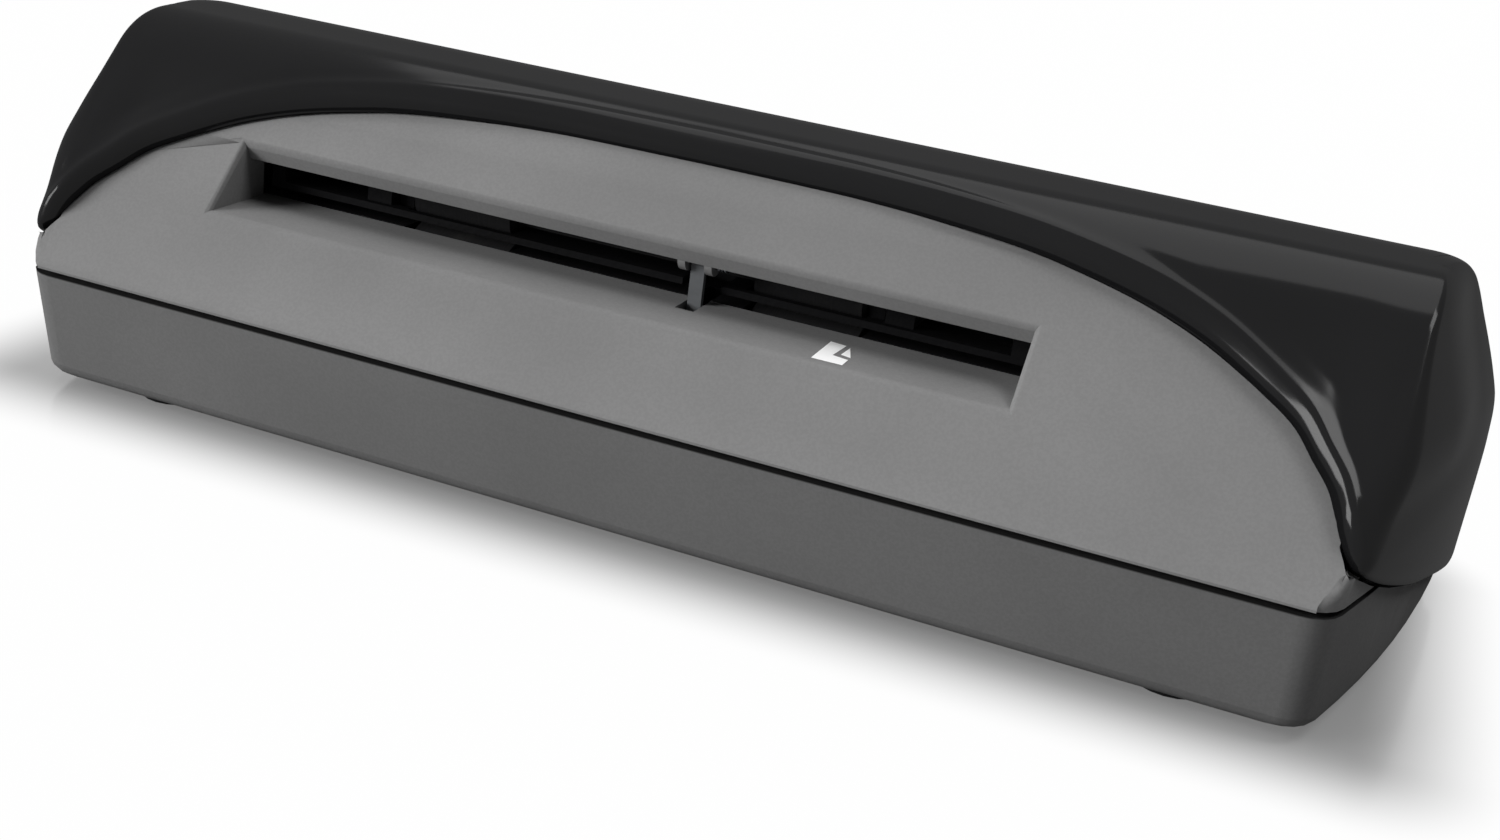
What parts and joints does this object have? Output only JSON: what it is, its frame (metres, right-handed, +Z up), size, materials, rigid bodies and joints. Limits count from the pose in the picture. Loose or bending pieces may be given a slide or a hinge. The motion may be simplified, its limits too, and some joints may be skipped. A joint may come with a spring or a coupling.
{
  "type": "card scanner",
  "caption": "Sheet-fed desktop card scanner: a grey case with a sloped slotted front under a black hinged saddle-shaped cover.",
  "frame": {"origin": "on the ground under the middle of the case, half-way along its length and its depth", "axes": "+X along the case to its right end, +Y to the rear, +Z up; the feed slot faces -Y"},
  "size_m": [0.194, 0.066, 0.0478],
  "materials": {
    "panel_grey": "fine satin moulding texture",
    "base_grey": "fine satin moulding texture",
    "gloss_black": "semi-gloss moulded black",
    "inner_black": "matt moulded black",
    "rubber": "ground rubber",
    "roller_grey": "smooth moulded grey",
    "steel": "ground steel",
    "zinc": "zinc-plated sheet",
    "gear_white": "natural acetal",
    "brass": "turned brass",
    "glass": "clear flat glass",
    "white": "matt white",
    "board_green": "solder resist over glass fibre",
    "ribbon": "flexible film"
  },
  "bodies": {
    "case": {"lower_case": "base_grey", "upper_case": "panel_grey", "hinge_pin_left": "steel", "hinge_pin_right": "steel", "guide_deck": "inner_black", "side_frame_left": "zinc", "side_frame_right": "zinc", "transfer_stud": "steel", "reduction_stud": "steel", "gear_plate": "zinc", "motor": "zinc", "sensor_spring_left": "steel", "sensor_spring_right": "steel", "main_board": "board_green", "controller_chip": "inner_black", "usb_socket": "steel", "cable_socket": "white", "sensor_cable": "ribbon", "light_gate": "inner_black", "lever_spring": "steel", "feed_bush_left": "brass", "feed_bush_right": "brass", "exit_bush_left": "brass", "exit_bush_right": "brass", "foot_1": "rubber", "case_screw_1": "zinc", "foot_2": "rubber", "case_screw_2": "zinc", "foot_3": "rubber", "case_screw_3": "zinc", "foot_4": "rubber", "case_screw_4": "zinc"},
    "cover": {"top_cover": "gloss_black", "cover_frame": "inner_black", "backing_strip": "white", "front_pinch_spring_left": "steel", "front_pinch_spring_right": "steel", "rear_pinch_spring_left": "steel", "rear_pinch_spring_right": "steel"},
    "feed_roller": {"feed_roller_shaft": "steel", "feed_tyre_left": "rubber", "feed_tyre_right": "rubber", "feed_gear": "gear_white"},
    "exit_roller": {"exit_roller_shaft": "steel", "exit_tyre_left": "rubber", "exit_tyre_right": "rubber", "exit_gear": "gear_white"},
    "transfer": {"transfer_gear": "gear_white"},
    "reduction": {"reduction_gear": "gear_white"},
    "pinion": {"motor_pinion": "brass"},
    "lever": {"card_lever": "inner_black"},
    "sensor": {"image_sensor": "inner_black", "sensor_glass": "glass"},
    "front_carrier": {"front_pinch_carrier": "inner_black"},
    "front_pinch": {"front_pinch_roller": "roller_grey"},
    "rear_carrier": {"rear_pinch_carrier": "inner_black"},
    "rear_pinch": {"rear_pinch_roller": "roller_grey"}
  },
  "joints": [
    {"name": "cover_hinge", "type": "hinge", "parent": "case", "child": "cover", "pos_m": [0, 0.024, 0.012], "axis": [-1, 0, 0], "range_deg": [0, 62]},
    {"name": "feed_spin", "type": "hinge", "parent": "case", "child": "feed_roller", "pos_m": [0.048, -0.0075, 0.0233], "axis": [-1, 0, 0], "continuous": true},
    {"name": "exit_spin", "type": "hinge", "parent": "case", "child": "exit_roller", "pos_m": [0.048, 0.015, 0.0233], "axis": [-1, 0, 0], "continuous": true},
    {"name": "transfer_spin", "type": "hinge", "parent": "case", "child": "transfer", "pos_m": [0.048, 0.00375, 0.01192], "axis": [-1, 0, 0], "continuous": true},
    {"name": "reduction_spin", "type": "hinge", "parent": "case", "child": "reduction", "pos_m": [0.048, 0.00522, 0.03275], "axis": [-1, 0, 0], "continuous": true},
    {"name": "pinion_spin", "type": "hinge", "parent": "case", "child": "pinion", "pos_m": [0.048, 0.00744, 0.02014], "axis": [-1, 0, 0], "continuous": true},
    {"name": "lever_swing", "type": "hinge", "parent": "case", "child": "lever", "pos_m": [0.0024, -0.0136, 0.0332], "axis": [1, 0, 0], "range_deg": [0, 52], "stiffness_Nm_per_rad": 0.0001, "springref_deg": -22.92},
    {"name": "sensor_float", "type": "slide", "parent": "case", "child": "sensor", "axis": [0, 0, 1], "range_m": [-0.0008, 0], "stiffness_N_per_m": 1500, "springref_m": 0.0006, "deforming": ["sensor_spring_left", "sensor_spring_right"]},
    {"name": "front_carrier_lift", "type": "slide", "parent": "cover", "child": "front_carrier", "axis": [0, 0, 1], "range_m": [0, 0.001], "stiffness_N_per_m": 900, "springref_m": -0.0012, "deforming": ["front_pinch_spring_left", "front_pinch_spring_right"]},
    {"name": "front_pinch_spin", "type": "hinge", "parent": "front_carrier", "child": "front_pinch", "pos_m": [-0.0084, -0.0075, 0.0311], "axis": [1, 0, 0], "continuous": true},
    {"name": "rear_carrier_lift", "type": "slide", "parent": "cover", "child": "rear_carrier", "axis": [0, 0, 1], "range_m": [0, 0.001], "stiffness_N_per_m": 900, "springref_m": -0.0012, "deforming": ["rear_pinch_spring_left", "rear_pinch_spring_right"]},
    {"name": "rear_pinch_spin", "type": "hinge", "parent": "rear_carrier", "child": "rear_pinch", "pos_m": [-0.0084, 0.015, 0.0311], "axis": [1, 0, 0], "continuous": true}
  ],
  "couplings": [
    {"joint": "exit_spin", "follows": "feed_spin", "ratio": 1},
    {"joint": "transfer_spin", "follows": "feed_spin", "ratio": -1.5},
    {"joint": "reduction_spin", "follows": "feed_spin", "ratio": -2.4},
    {"joint": "pinion_spin", "follows": "feed_spin", "ratio": 5.28}
  ]
}
